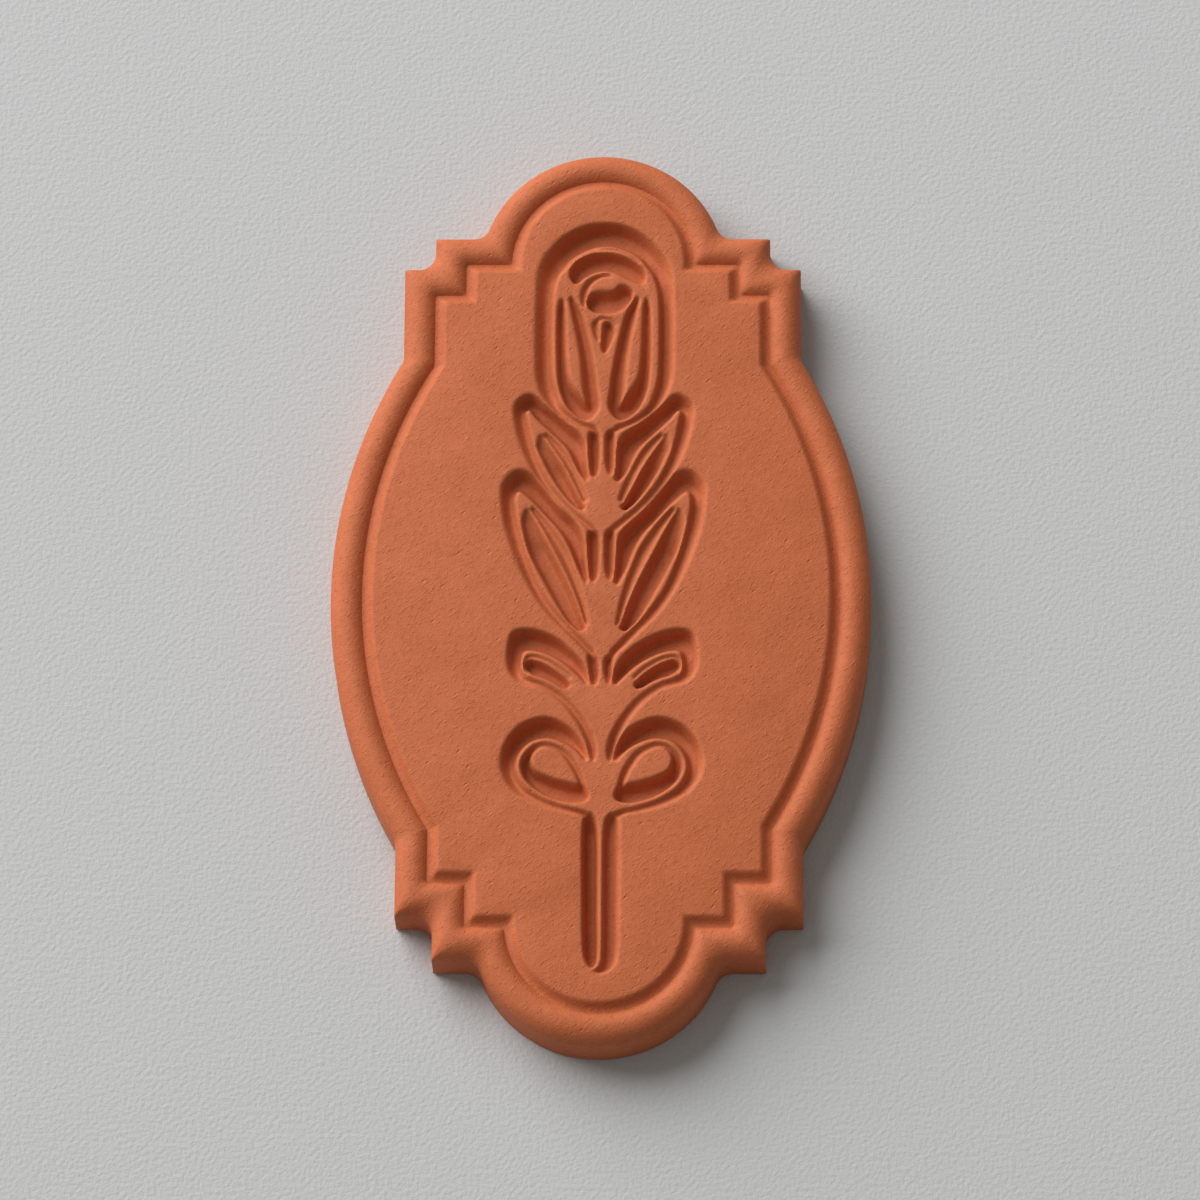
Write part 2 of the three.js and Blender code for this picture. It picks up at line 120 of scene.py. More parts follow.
# Clay and paper
DARK_CLAY = (0.47, 0.111, 0.034, 1)
LIGHT_CLAY = (0.58, 0.147, 0.053, 1)
GRAIN_ANGLE = 42
GRAIN_STRETCH = 2.3
GRAIN_DEPTH = 0.05
PALE_GREY = (0.55, 0.55, 0.555, 1)
PAPER_TOOTH = 0.09
PAPER_HALF_WIDTH = 600

# Waves in each metre of a pattern: the wobble of the clay, its colours, its relief, and the paper's relief
WOBBLE_WAVES = 260.0
DRIFT_WAVES = 260.0
FLECK_WAVES = 2600.0
STROKE_WAVES = 5600.0
SAND_WAVES = 9500.0
SWELL_WAVES = 520.0
PRICK_WAVES = 1150.0
FIBRE_WAVES = 3000.0
CLOUD_WAVES = 120.0

# Light: the lamp's bearing is counted from the right of the plaque, and its rise from the paper
LAMP_DISTANCE = 1500
LAMP_BEARING = 135
LAMP_RISE = 33
LAMP_DIAMETER = 1600
LAMP_POWER = 36.8
SKY_COLOUR = (1, 1.02, 0.95, 1)
SKY_STRENGTH = 0.245

# Camera: its tilt and turn are counted from upright, and the shift is in pixels of a picture this wide
CAMERA_DISTANCE = 493
CAMERA_TILT = 20
CAMERA_TURN = 1
LENS_LENGTH = 200
FILM_WIDTH = 36
PICTURE_WIDTH = 1200
PICTURE_SHIFT_X = -1.0
PICTURE_SHIFT_Y = -7.3


# Outline

OUTLINE = [
    {"arc": True, "x": 0, "y": FOOT_RADIUS - LENGTH / 2, "radius": FOOT_RADIUS},
    {"level": LOWER_STEP_Y, "inward": 1},
    {"upright": LOWER_STEP_HALF_WIDTH},
    {"level": LOWER_SHOULDER_Y, "inward": 1},
    {"upright": SIDE_HALF_WIDTH, "half": -1},
    {"arc": True, "x": BOW_HALF_WIDTH - BOW_RADIUS, "y": BOW_CENTRE_Y, "radius": BOW_RADIUS},
    {"upright": SIDE_HALF_WIDTH, "half": 1},
    {"level": UPPER_SHOULDER_Y, "inward": -1},
    {"upright": UPPER_STEP_HALF_WIDTH},
    {"level": UPPER_STEP_Y, "inward": -1},
    {"arc": True, "x": 0, "y": LENGTH / 2 - CROWN_RADIUS, "radius": CROWN_RADIUS},
]
INNER_CORNER = [True, False, True, False, True, True, False, True, False, True]


def level_at(edge, inset):
    return edge["level"] + edge["inward"] * inset


def corner(first, second, inset):
    """Where two neighbouring edges meet once both have moved in by the inset."""
    level = first if "level" in first else second if "level" in second else None
    upright = first if "upright" in first else second if "upright" in second else None
    if level and upright:
        return (upright["upright"] - inset, level_at(level, inset))
    arc = first if "arc" in first else second
    radius = arc["radius"] - inset
    if level:
        y = level_at(level, inset)
        return (arc["x"] + math.sqrt(radius ** 2 - (y - arc["y"]) ** 2), y)
    x = upright["upright"] - inset
    return (x, arc["y"] + upright["half"] * math.sqrt(radius ** 2 - (x - arc["x"]) ** 2))


def touch(edge, point, inset):
    """The nearest place to a point on an edge that has moved in by the inset."""
    if "level" in edge:
        return (point[0], level_at(edge, inset))
    if "upright" in edge:
        return (edge["upright"] - inset, point[1])
    away = (point[0] - edge["x"], point[1] - edge["y"])
    reach = (edge["radius"] - inset) / math.hypot(*away)
    return (edge["x"] + away[0] * reach, edge["y"] + away[1] * reach)


def along_arc(centre, start, end, steps):
    """Points on a circle the shorter way round, without the first."""
    radius = math.dist(centre, start)
    first = math.atan2(start[1] - centre[1], start[0] - centre[0])
    turn = math.atan2(end[1] - centre[1], end[0] - centre[0]) - first
    turn = (turn + math.pi) % (2 * math.pi) - math.pi
    angles = [first + turn * i / steps for i in range(1, steps + 1)]
    return [(centre[0] + radius * math.cos(a), centre[1] + radius * math.sin(a)) for a in angles]


def along_line(start, end, steps):
    shares = [i / steps for i in range(1, steps + 1)]
    return [(start[0] + (end[0] - start[0]) * s, start[1] + (end[1] - start[1]) * s) for s in shares]


def half_ring(inset, counts):
    """The right half of the outline moved in by the inset. Empty counts are filled from the edge lengths."""
    tighten = min(inset / GROOVE_INSET, 1)
    inner_round = OUTER_FILLET + (GROOVE_FILLET - OUTER_FILLET) * tighten
    outer_round = CORNER_ROUND + (GROOVE_CORNER_ROUND - CORNER_ROUND) * tighten
    outer_round += (CREST_CORNER_ROUND - CORNER_ROUND) * math.sin(math.pi * tighten)
    measure = not counts
    points = [(0, inset - LENGTH / 2)]
    for i, edge in enumerate(OUTLINE):
        last = i == len(OUTLINE) - 1
        if last:
            end = (0, LENGTH / 2 - inset)
        else:
            shift = -inner_round if INNER_CORNER[i] else outer_round
            centre = corner(edge, OUTLINE[i + 1], inset + shift)
            end = touch(edge, centre, inset)
        if measure:
            counts.append(max(1, round(math.dist(points[-1], end) / OUTLINE_SPACING)))
        if "arc" in edge:
            points += along_arc((edge["x"], edge["y"]), points[-1], end, counts[i])
        else:
            points += along_line(points[-1], end, counts[i])
        if not last:
            steps = FILLET_STEPS if INNER_CORNER[i] else CORNER_STEPS
            points += along_arc(centre, end, touch(OUTLINE[i + 1], centre, inset), steps)
    return points


def full_ring(inset, counts):
    half = half_ring(inset, counts)
    return half + [(-x, y) for x, y in reversed(half[1:-1])]


def moulding_section():
    """Inset and height from the back's edge to the field: wall, bead, groove and the rise to the field."""
    section = [(BACK_EDGE_ROUND, 0), (BACK_EDGE_MIDDLE, BACK_EDGE_MIDDLE), (0, BACK_EDGE_ROUND)]
    section += [(0, WALL_HEIGHT * share) for share in WALL_SHARES]
    for i in range(BEAD_STEPS + 1):
        angle = math.pi / 2 * i / BEAD_STEPS
        rise = (BEAD_HEIGHT - WALL_HEIGHT) * math.sin(angle)
        section.append((CREST_INSET * (1 - math.cos(angle)), WALL_HEIGHT + rise))
    turn = math.radians(FALL_ANGLE)
    radius = (GROOVE_INSET - CREST_INSET) / math.sin(turn)
    for i in range(1, FALL_STEPS + 1):
        angle = turn * i / FALL_STEPS
        drop = radius * (1 - math.cos(angle))
        section.append((CREST_INSET + radius * math.sin(angle), BEAD_HEIGHT - drop))
    groove_height = section[-1][1]
    run = FIELD_INSET - GROOVE_INSET
    for along, up in FIELD_RISE:
        section.append((GROOVE_INSET + run * along, groove_height + (FIELD_HEIGHT - groove_height) * up))
    return section


# Channels of the ornament, in millimetres from its axis. A rung is the channel's outer lip, its inner rim,
# the shares of the way across at which its floor starts and ends, and its depth. Smooth edges run through
# the rungs.

def with_floor(starts, ends, depth, rungs, deepening=1):
    """The same floor shares on every rung, and one depth that is reached after the first few."""
    return [(*rung, starts, ends, depth * min((i + 1) / deepening, 1)) for i, rung in enumerate(rungs)]


# Round the bud, from the top of the arch down to the top of the stem
BUD_CHANNEL = [
    (-0.1, 29.25, -0.1, 27.15, 0.26, 0.66, 1.32), (1.0, 29.15, 0.8, 27.02, 0.26, 0.66, 1.32),
    (2.05, 28.83, 1.6, 26.7, 0.3, 0.66, 1.32), (3.1, 28.22, 2.4, 26.2, 0.36, 0.68, 1.28),
    (4.12, 27.25, 3.0, 25.5, 0.46, 0.72, 1.14), (4.8, 26.3, 3.45, 24.85, 0.56, 0.74, 1.1),
    (5.2, 25.15, 3.75, 24.0, 0.62, 0.77, 0.9), (5.27, 24.0, 3.92, 23.0, 0.62, 0.78, 0.85),
    (5.27, 17.3, 3.92, 17.2, 0.6, 0.78, 0.85), (5.05, 15.95, 3.78, 16.1, 0.58, 0.77, 0.8),
    (4.6, 14.85, 3.5, 15.2, 0.56, 0.73, 0.65), (3.75, 13.9, 3.2, 14.4, 0.48, 0.66, 0.5),
    (2.65, 13.08, 2.2, 13.5, 0.42, 0.6, 0.4), (1.7, 12.65, 1.3, 13.02, 0.4, 0.6, 0.4),
    (1.15, 12.4, 0.7, 12.75, 0.4, 0.6, 0.4), (0.8, 12.2, 0.5, 12.45, 0.4, 0.6, 0.3),
]

# Round the four leaves, each from its inner tip over the leaf and down to the stem
LEAF_CHANNELS = [
    [
        (0.8, 8.6, 1.15, 8.3, 0.4, 0.6, 0.5), (0.95, 9.6, 1.75, 8.95, 0.3, 0.6, 1.0),
        (1.15, 11.8, 2.75, 10.9, 0.26, 0.66, 1.23), (2.65, 13.1, 3.75, 12.0, 0.28, 0.66, 1.28),
        (4.15, 14.45, 5.0, 13.25, 0.34, 0.68, 1.19), (5.5, 15.45, 5.6, 14.0, 0.44, 0.7, 1.15),
        (6.7, 14.7, 5.72, 13.85, 0.56, 0.74, 0.9), (6.75, 13.0, 5.55, 12.9, 0.62, 0.78, 0.72),
        (6.2, 10.95, 5.2, 11.3, 0.62, 0.78, 0.6), (5.3, 9.1, 4.58, 9.45, 0.58, 0.76, 0.5),
        (4.18, 7.35, 3.6, 7.8, 0.54, 0.72, 0.42), (2.68, 5.82, 2.25, 6.25, 0.48, 0.64, 0.36),
        (1.6, 4.95, 1.25, 5.35, 0.4, 0.6, 0.36), (1.1, 4.5, 0.7, 4.9, 0.4, 0.6, 0.36),
        (0.8, 4.35, 0.5, 4.6, 0.4, 0.6, 0.3),
    ],
    [
        (0.8, 0.5, 1.15, 0.15, 0.4, 0.6, 0.5), (0.95, 2.0, 1.85, 1.5, 0.3, 0.6, 1.1),
        (1.15, 4.1, 2.6, 3.3, 0.26, 0.66, 1.28), (2.0, 5.25, 3.25, 4.4, 0.26, 0.66, 1.32),
        (3.1, 6.35, 4.1, 5.4, 0.28, 0.66, 1.32), (4.4, 8.05, 5.1, 6.5, 0.3, 0.66, 1.28),
        (5.5, 9.27, 6.15, 7.4, 0.38, 0.68, 1.19), (6.5, 9.42, 6.3, 7.45, 0.46, 0.7, 1.2),
        (7.58, 8.35, 6.45, 7.1, 0.56, 0.74, 0.98), (7.66, 6.4, 6.42, 6.0, 0.62, 0.78, 0.78),
        (7.2, 3.95, 6.02, 4.15, 0.62, 0.78, 0.62), (6.35, 1.68, 5.4, 2.05, 0.62, 0.78, 0.55),
        (5.32, -0.43, 4.6, 0.05, 0.6, 0.76, 0.5), (4.0, -2.33, 3.5, -1.65, 0.56, 0.74, 0.45),
        (2.62, -3.68, 2.25, -3.15, 0.5, 0.68, 0.4), (1.65, -4.65, 1.25, -4.2, 0.42, 0.62, 0.45),
        (1.05, -5.2, 0.6, -4.95, 0.4, 0.6, 0.5), (0.8, -5.6, 0.5, -5.5, 0.4, 0.6, 0.4),
    ],
    [
        (0.7, -7.45, 1.1, -7.6, 0.4, 0.6, 0.5), (0.95, -6.2, 1.95, -6.75, 0.3, 0.6, 1.1),
        (1.9, -4.9, 2.9, -5.95, 0.28, 0.66, 1.23), (3.6, -3.75, 4.1, -5.3, 0.28, 0.68, 1.28),
        (5.6, -3.15, 5.25, -5.05, 0.28, 0.68, 1.28), (6.65, -3.4, 5.65, -5.15, 0.34, 0.7, 1.19),
        (7.05, -4.6, 5.85, -5.65, 0.44, 0.74, 1.1), (7.02, -6.35, 5.88, -6.3, 0.52, 0.76, 0.8),
        (6.45, -7.35, 5.55, -6.9, 0.56, 0.76, 0.45), (4.6, -8.0, 4.2, -7.45, 0.56, 0.72, 0.3),
        (3.15, -9.05, 2.65, -8.5, 0.54, 0.7, 0.34), (2.1, -10.3, 1.5, -9.85, 0.5, 0.68, 0.42),
        (1.55, -11.25, 0.85, -10.95, 0.46, 0.66, 0.5), (1.22, -11.95, 0.5, -11.75, 0.42, 0.62, 0.6),
        (1.0, -12.6, 0.35, -12.55, 0.38, 0.6, 0.65), (0.85, -13.15, 0.38, -13.15, 0.4, 0.6, 0.5),
        (0.72, -13.5, 0.5, -13.5, 0.4, 0.6, 0.3),
    ],
    [
        (0.75, -13.3, 1.15, -13.5, 0.4, 0.6, 0.5), (1.02, -12.3, 1.85, -12.75, 0.3, 0.6, 1.0),
        (2.0, -10.9, 2.75, -12.2, 0.28, 0.66, 1.23), (4.1, -10.05, 3.95, -11.85, 0.28, 0.68, 1.28),
        (6.0, -10.65, 5.1, -12.1, 0.32, 0.68, 1.28), (7.25, -12.25, 5.97, -13.0, 0.44, 0.72, 1.2),
        (7.5, -14.1, 6.2, -14.2, 0.6, 0.77, 0.85), (6.6, -15.82, 5.55, -15.5, 0.62, 0.78, 0.55),
        (4.65, -16.95, 4.2, -16.4, 0.58, 0.74, 0.36), (2.65, -17.5, 2.4, -17.05, 0.52, 0.7, 0.32),
        (1.75, -17.62, 1.5, -17.25, 0.46, 0.66, 0.4), (1.2, -17.9, 1.0, -17.4, 0.4, 0.6, 0.5),
    ],
]

# Slots that leave the stem standing, from the top down. On the left they are wide and flat, on the right
# narrow with a slanting outer wall.
LEFT_SLOTS = [
    [
        (-1.02, 12.4, -0.5, 12.45, 0.35, 0.7, 0.4), (-1.12, 12.1, -0.3, 12.1, 0.26, 0.76, 0.85),
        (-1.1, 11.0, -0.28, 11.0, 0.24, 0.78, 0.95), (-1.0, 9.6, -0.34, 9.6, 0.26, 0.76, 0.85),
        (-0.92, 9.0, -0.45, 8.95, 0.3, 0.7, 0.6), (-0.82, 8.75, -0.6, 8.75, 0.3, 0.7, 0.3),
    ],
    [
        (-1.05, 4.5, -0.5, 4.55, 0.35, 0.7, 0.4), (-1.14, 4.2, -0.28, 4.2, 0.26, 0.76, 0.85),
        (-1.1, 3.0, -0.26, 3.0, 0.24, 0.78, 0.95), (-1.0, 1.4, -0.34, 1.4, 0.26, 0.76, 0.85),
        (-0.92, 0.8, -0.42, 0.75, 0.3, 0.7, 0.6), (-0.82, 0.45, -0.6, 0.45, 0.3, 0.7, 0.3),
    ],
    [
        (-1.1, -5.25, -0.7, -5.2, 0.3, 0.7, 0.35), (-1.08, -5.6, -0.34, -5.6, 0.26, 0.74, 0.75),
        (-0.92, -6.6, -0.24, -6.6, 0.26, 0.74, 0.85), (-0.84, -7.3, -0.32, -7.3, 0.28, 0.7, 0.6),
        (-0.72, -7.65, -0.5, -7.65, 0.3, 0.7, 0.3),
    ],
]
RIGHT_SLOTS = [
    [
        (0.85, 12.45, 0.4, 12.45, 0.35, 0.65, 0.3), (0.94, 12.1, 0.14, 12.1, 0.46, 0.66, 0.7),
        (0.9, 10.8, 0.1, 10.8, 0.48, 0.66, 0.75), (0.82, 9.6, 0.18, 9.6, 0.46, 0.66, 0.65),
        (0.7, 8.9, 0.38, 8.9, 0.4, 0.6, 0.3),
    ],
    [
        (0.9, 4.6, 0.4, 4.6, 0.35, 0.65, 0.3), (0.96, 4.2, 0.14, 4.2, 0.46, 0.66, 0.75),
        (0.94, 3.0, 0.1, 3.0, 0.48, 0.66, 0.8), (0.84, 1.4, 0.18, 1.4, 0.46, 0.66, 0.7),
        (0.7, 0.6, 0.38, 0.6, 0.4, 0.6, 0.3),
    ],
    [
        (0.9, -5.2, 0.6, -5.2, 0.35, 0.65, 0.3), (0.86, -5.7, 0.16, -5.6, 0.46, 0.66, 0.65),
        (0.78, -6.6, 0.12, -6.6, 0.46, 0.66, 0.7), (0.64, -7.5, 0.36, -7.5, 0.4, 0.6, 0.3),
    ],
]
# Beside the foot of the stem
FOOT_LEFT_SLOT = [
    (-1.1, -17.55, -0.7, -17.5, 0.3, 0.7, 0.35), (-1.28, -17.95, -0.42, -17.9, 0.26, 0.76, 0.9),
    (-1.36, -18.6, -0.28, -18.6, 0.22, 0.8, 1.3), (-1.34, -24, -0.22, -24, 0.22, 0.82, 1.45),
    (-1.2, -28.2, -0.22, -28.2, 0.22, 0.8, 1.35), (-1.0, -28.9, -0.3, -28.9, 0.28, 0.74, 1.0),
    (-0.78, -29.2, -0.5, -29.2, 0.3, 0.7, 0.4),
]
FOOT_RIGHT_SLOT = [
    (1.15, -17.5, 0.6, -17.55, 0.35, 0.65, 0.3), (1.38, -18.0, 0.3, -18.0, 0.5, 0.78, 0.75),
    (1.42, -19.0, 0.18, -19.0, 0.5, 0.82, 0.9), (1.42, -24, 0.14, -24, 0.5, 0.84, 0.95),
    (1.32, -28.2, 0.1, -28.2, 0.5, 0.82, 0.9), (1.05, -29.1, 0.02, -28.95, 0.46, 0.74, 0.75),
    (0.55, -29.55, -0.15, -29.2, 0.4, 0.7, 0.5), (0.0, -29.7, -0.3, -29.35, 0.4, 0.7, 0.4),
    (-0.5, -29.6, -0.5, -29.4, 0.4, 0.6, 0.2),
]

# Hollows in the first two leaves: a shallow one above the midrib and a deep one below it
LEAF_HOLLOWS = [
    with_floor(0.26, 0.42, 0.4, [
        (4.25, 12.2, 4.5, 12.0), (3.45, 11.55, 3.98, 11.15), (2.72, 10.6, 3.35, 10.2),
        (2.05, 9.4, 2.75, 9.15), (1.5, 8.1, 2.18, 7.95), (1.12, 6.9, 1.5, 6.65),
    ]),
    with_floor(0.24, 0.78, 1.0, [
        (4.52, 12.1, 4.78, 12.0), (4.02, 11.25, 4.98, 11.2), (3.38, 10.2, 4.52, 10.1),
        (2.78, 9.15, 3.95, 8.95), (2.2, 7.95, 3.2, 7.75), (1.62, 6.8, 2.3, 6.65), (1.35, 6.3, 1.65, 6.15),
    ], deepening=4),
    with_floor(0.26, 0.42, 0.45, [
        (5.15, 6.3, 5.42, 6.15), (4.35, 5.5, 4.88, 5.15), (3.45, 4.3, 4.28, 4.0), (2.65, 3.05, 3.75, 2.85),
        (2.02, 1.4, 3.02, 1.5), (1.52, -0.2, 2.33, 0.0), (1.2, -1.6, 1.77, -1.4), (0.98, -3.0, 1.3, -2.85),
    ]),
    with_floor(0.24, 0.78, 1.05, [
        (5.5, 6.18, 5.8, 6.1), (5.0, 5.35, 6.05, 5.25), (4.35, 4.1, 5.85, 4.0), (3.78, 2.95, 5.52, 2.8),
        (3.08, 1.55, 4.88, 1.45), (2.4, 0.1, 4.12, 0.0), (1.85, -1.3, 3.38, -1.35),
        (1.45, -2.5, 2.5, -2.65), (1.25, -3.15, 1.7, -3.35),
    ], deepening=4),
]

# In the third and the fourth leaf, with the fine line that follows the third leaf's rim
THIRD_LEAF_HOLLOW = with_floor(0.26, 0.7, 0.95, [
    (2.4, -7.55, 2.55, -7.88), (2.72, -7.1, 3.0, -7.78), (3.38, -6.5, 3.67, -7.4), (4.1, -6.0, 4.38, -7.12),
    (4.8, -5.68, 5.08, -6.9), (5.32, -5.6, 5.58, -6.42), (5.56, -5.85, 5.64, -6.12),
])
THIRD_LEAF_RIM_LINE = with_floor(0.4, 0.6, 0.35, [
    (2.25, -7.02, 2.37, -7.22), (2.88, -6.37, 3.04, -6.58), (3.73, -5.79, 3.87, -6.01),
    (4.49, -5.42, 4.57, -5.66), (5.16, -5.28, 5.12, -5.54), (5.62, -5.42, 5.42, -5.63),
    (5.8, -5.88, 5.56, -5.97), (5.76, -6.42, 5.54, -6.33), (5.48, -6.79, 5.35, -6.62),
])
FOURTH_LEAF_HOLLOW = [
    (1.2, -15.3, 1.72, -15.1, 0.4, 0.6, 0.5), (1.5, -14.2, 2.1, -14.3, 0.4, 0.6, 0.45),
    (2.58, -12.65, 3.02, -13.0, 0.4, 0.6, 0.35), (4.25, -12.05, 4.3, -12.45, 0.4, 0.6, 0.32),
    (5.25, -12.5, 4.9, -12.85, 0.4, 0.6, 0.5), (5.95, -13.6, 5.1, -13.45, 0.36, 0.66, 0.85),
    (5.65, -14.85, 4.8, -14.15, 0.26, 0.66, 1.1), (4.0, -16.2, 3.5, -14.75, 0.22, 0.66, 1.1),
    (1.9, -16.75, 2.2, -15.1, 0.22, 0.66, 1.1), (0.95, -16.45, 1.75, -15.25, 0.26, 0.66, 0.95),
]

# Inside the bud, drawn from left to right or from the top down and not mirrored
CRESCENT = with_floor(0.22, 0.74, 1.05, [
    (-2.32, 24.4, -2.16, 24.32), (-2.6, 24.85, -1.82, 24.42), (-2.58, 25.33, -1.57, 24.62),
    (-2.28, 25.97, -1.17, 24.85), (-1.52, 26.48, -0.76, 25.04), (-0.7, 26.74, -0.32, 25.15),
    (0.1, 26.77, 0.1, 25.19), (0.92, 26.66, 0.56, 25.1), (1.8, 26.37, 1.1, 24.88), (2.45, 25.95, 1.6, 24.62),
    (2.92, 25.43, 2.02, 24.42), (3.05, 24.9, 2.38, 24.3), (2.92, 24.42, 2.68, 24.25),
])
BUD_RIM_LINE = with_floor(0.4, 0.6, 0.35, [
    (-3.33, 25.26, -3.02, 25.19), (-3.04, 25.84, -2.62, 25.66), (-2.53, 26.4, -2.22, 26.1),
    (-1.72, 26.87, -1.58, 26.59), (-0.81, 27.1, -0.75, 26.88), (0.0, 27.15, 0.0, 26.93),
    (0.91, 27.07, 0.85, 26.85), (1.82, 26.75, 1.7, 26.53), (2.48, 26.29, 2.29, 26.1),
    (2.77, 25.92, 2.66, 25.83),
])
SWIRL = with_floor(0.5, 0.66, 0.45, [
    (0.5, 24.95, 0.48, 24.8), (0.0, 25.0, 0.02, 24.8), (-0.57, 24.89, -0.43, 24.62),
    (-1.14, 24.58, -0.88, 24.27), (-1.6, 24.05, -1.15, 23.83), (-1.83, 23.45, -1.25, 23.4),
    (-1.78, 22.82, -1.38, 22.85), (-1.57, 22.35, -1.43, 22.4),
])
PIT = with_floor(0.34, 0.8, 0.95, [
    (-1.22, 22.9, -1.22, 22.55), (-1.1, 23.35, -1.08, 22.15), (-0.76, 23.66, -0.7, 21.87),
    (-0.2, 23.78, -0.15, 21.79), (0.45, 23.76, 0.47, 21.79), (0.8, 23.9, 1.02, 21.9),
    (1.12, 24.26, 1.56, 22.24), (1.45, 24.22, 1.92, 22.76), (1.82, 23.9, 2.05, 23.22),
    (2.0, 23.62, 2.05, 23.42),
])
DROP_LEFT = with_floor(0.4, 0.6, 0.4, [
    (-0.5, 21.35, -0.38, 21.22), (-0.9, 21.07, -0.4, 20.95), (-0.94, 20.7, -0.36, 20.6),
    (-0.78, 20.2, -0.34, 20.12), (-0.52, 19.65, -0.32, 19.6),
])
DROP_RIGHT = with_floor(0.3, 0.65, 0.7, [
    (0.1, 21.12, 0.42, 21.14), (-0.1, 20.87, 0.8, 20.82), (-0.17, 20.4, 0.9, 20.35),
    (-0.22, 19.9, 0.75, 19.85), (-0.22, 19.4, 0.52, 19.35), (-0.17, 19.0, 0.28, 19.0),
    (-0.04, 18.7, 0.12, 18.68),
])
DROP_ARC = with_floor(0.4, 0.6, 0.35, [
    (-0.41, 21.46, -0.37, 21.26), (0.0, 21.51, 0.0, 21.3), (0.44, 21.41, 0.34, 21.22),
    (0.79, 21.14, 0.63, 21.01), (0.96, 20.78, 0.81, 20.76),
])
PETAL_HOLLOW = [
    (2.4, 23.15, 2.64, 23.05, 0.4, 0.6, 0.5), (1.7, 22.0, 2.52, 21.9, 0.3, 0.5, 0.7),
    (1.15, 20.0, 2.12, 19.9, 0.3, 0.5, 0.8), (0.75, 18.0, 1.85, 17.95, 0.26, 0.48, 0.85),
    (0.47, 16.0, 1.72, 16.0, 0.24, 0.48, 0.9), (0.38, 14.1, 1.5, 14.75, 0.22, 0.5, 1.0),
    (1.2, 13.2, 1.7, 15.4, 0.18, 0.5, 1.15), (2.4, 13.9, 2.1, 16.1, 0.18, 0.48, 1.15),
    (3.15, 15.3, 2.5, 17.0, 0.2, 0.42, 1.0), (3.44, 17.1, 2.66, 18.3, 0.22, 0.4, 0.85),
    (3.46, 22.2, 2.86, 22.2, 0.26, 0.42, 0.7), (3.3, 23.0, 3.05, 22.95, 0.4, 0.6, 0.4),
]


def smooth_curve(points, closed):
    """A function that gives the place on a centripetal curve, counting 1 for each point passed."""
    points = [np.array(p, float) for p in points]
    count = len(points)
    least_gap = 1e-6

    def control(i):
        if closed:
            return points[i % count]
        if i < 0:
            return 2 * points[0] - points[1]
        if i >= count:
            return 2 * points[-1] - points[-2]
        return points[i]

    def place(along):
        i = min(int(along), count - 1 if closed else count - 2)
        knots = [0.0]
        near = [control(i + k) for k in (-1, 0, 1, 2)]
        for a, b in zip(near, near[1:]):
            knots.append(knots[-1] + max(np.linalg.norm(b - a), least_gap) ** 0.5)
        t = knots[1] + (along - i) * (knots[2] - knots[1])
        level = near
        for spans in ([(0, 1), (1, 2), (2, 3)], [(0, 2), (1, 3)], [(1, 2)]):
            blended = []
            for k, (start, end) in enumerate(spans):
                share = (t - knots[start]) / (knots[end] - knots[start])
                blended.append(level[k] * (1 - share) + level[k + 1] * share)
            level = blended
        return level[0]

    return place


def set_back(rungs, gap):
    """The same channel with the edge of its inner tip farther from the stem."""
    tip = 3
    return [(rung[0] + gap, *rung[1:]) for rung in rungs[:tip]] + rungs[tip:]


def rows_along(lip, rim, spans, closed):
    """Places along a channel, a stamp step apart on the longer of its two edges."""
    nearly_next = 0.999
    nearly_round = spans - 1e-9
    rows = []
    for span in range(spans):
        length = max(np.linalg.norm(edge(span + nearly_next) - edge(span)) for edge in (lip, rim))
        steps = max(LEAST_STAMP_ROWS, math.ceil(length / STAMP_STEP))
        rows += [span + i / steps for i in range(steps)]
    rows.append(nearly_round if closed else spans)
    return rows


def channel_surface(rungs, side, closed=False, drift=0):
    """Points over a channel's pressed surface, in millimetres. A drift moves its inner rim to the right."""
    lip = smooth_curve([rung[:2] for rung in rungs], closed)
    rim = smooth_curve([rung[2:4] for rung in rungs], closed)
    floor = smooth_curve([rung[4:] for rung in rungs], closed)
    rows = rows_along(lip, rim, len(rungs) if closed else len(rungs) - 1, closed)
    widest = max(math.dist(rung[:2], rung[2:4]) for rung in rungs)
    columns = max(LEAST_STAMP_COLUMNS, math.ceil(widest / STAMP_STEP))
    across = np.linspace(0, 1, columns + 1)
    grid = np.zeros((len(rows), columns + 1, 3))
    for r, along in enumerate(rows):
        one = lip(along)
        other = rim(along) + (side * drift, 0)
        starts, ends, depth = floor(along)
        down_wall = np.minimum(np.minimum(across / starts, (1 - across) / (1 - ends)), 1)
        fall = depth * (1 - np.cos(math.pi * down_wall)) / 2
        flat = one[None, :] * (1 - across[:, None]) + other[None, :] * across[:, None]
        grid[r, :, 0] = ORNAMENT_X + side * flat[:, 0]
        grid[r, :, 1] = ORNAMENT_Y + flat[:, 1]
        grid[r, :, 2] = FIELD_HEIGHT - fall
    return grid


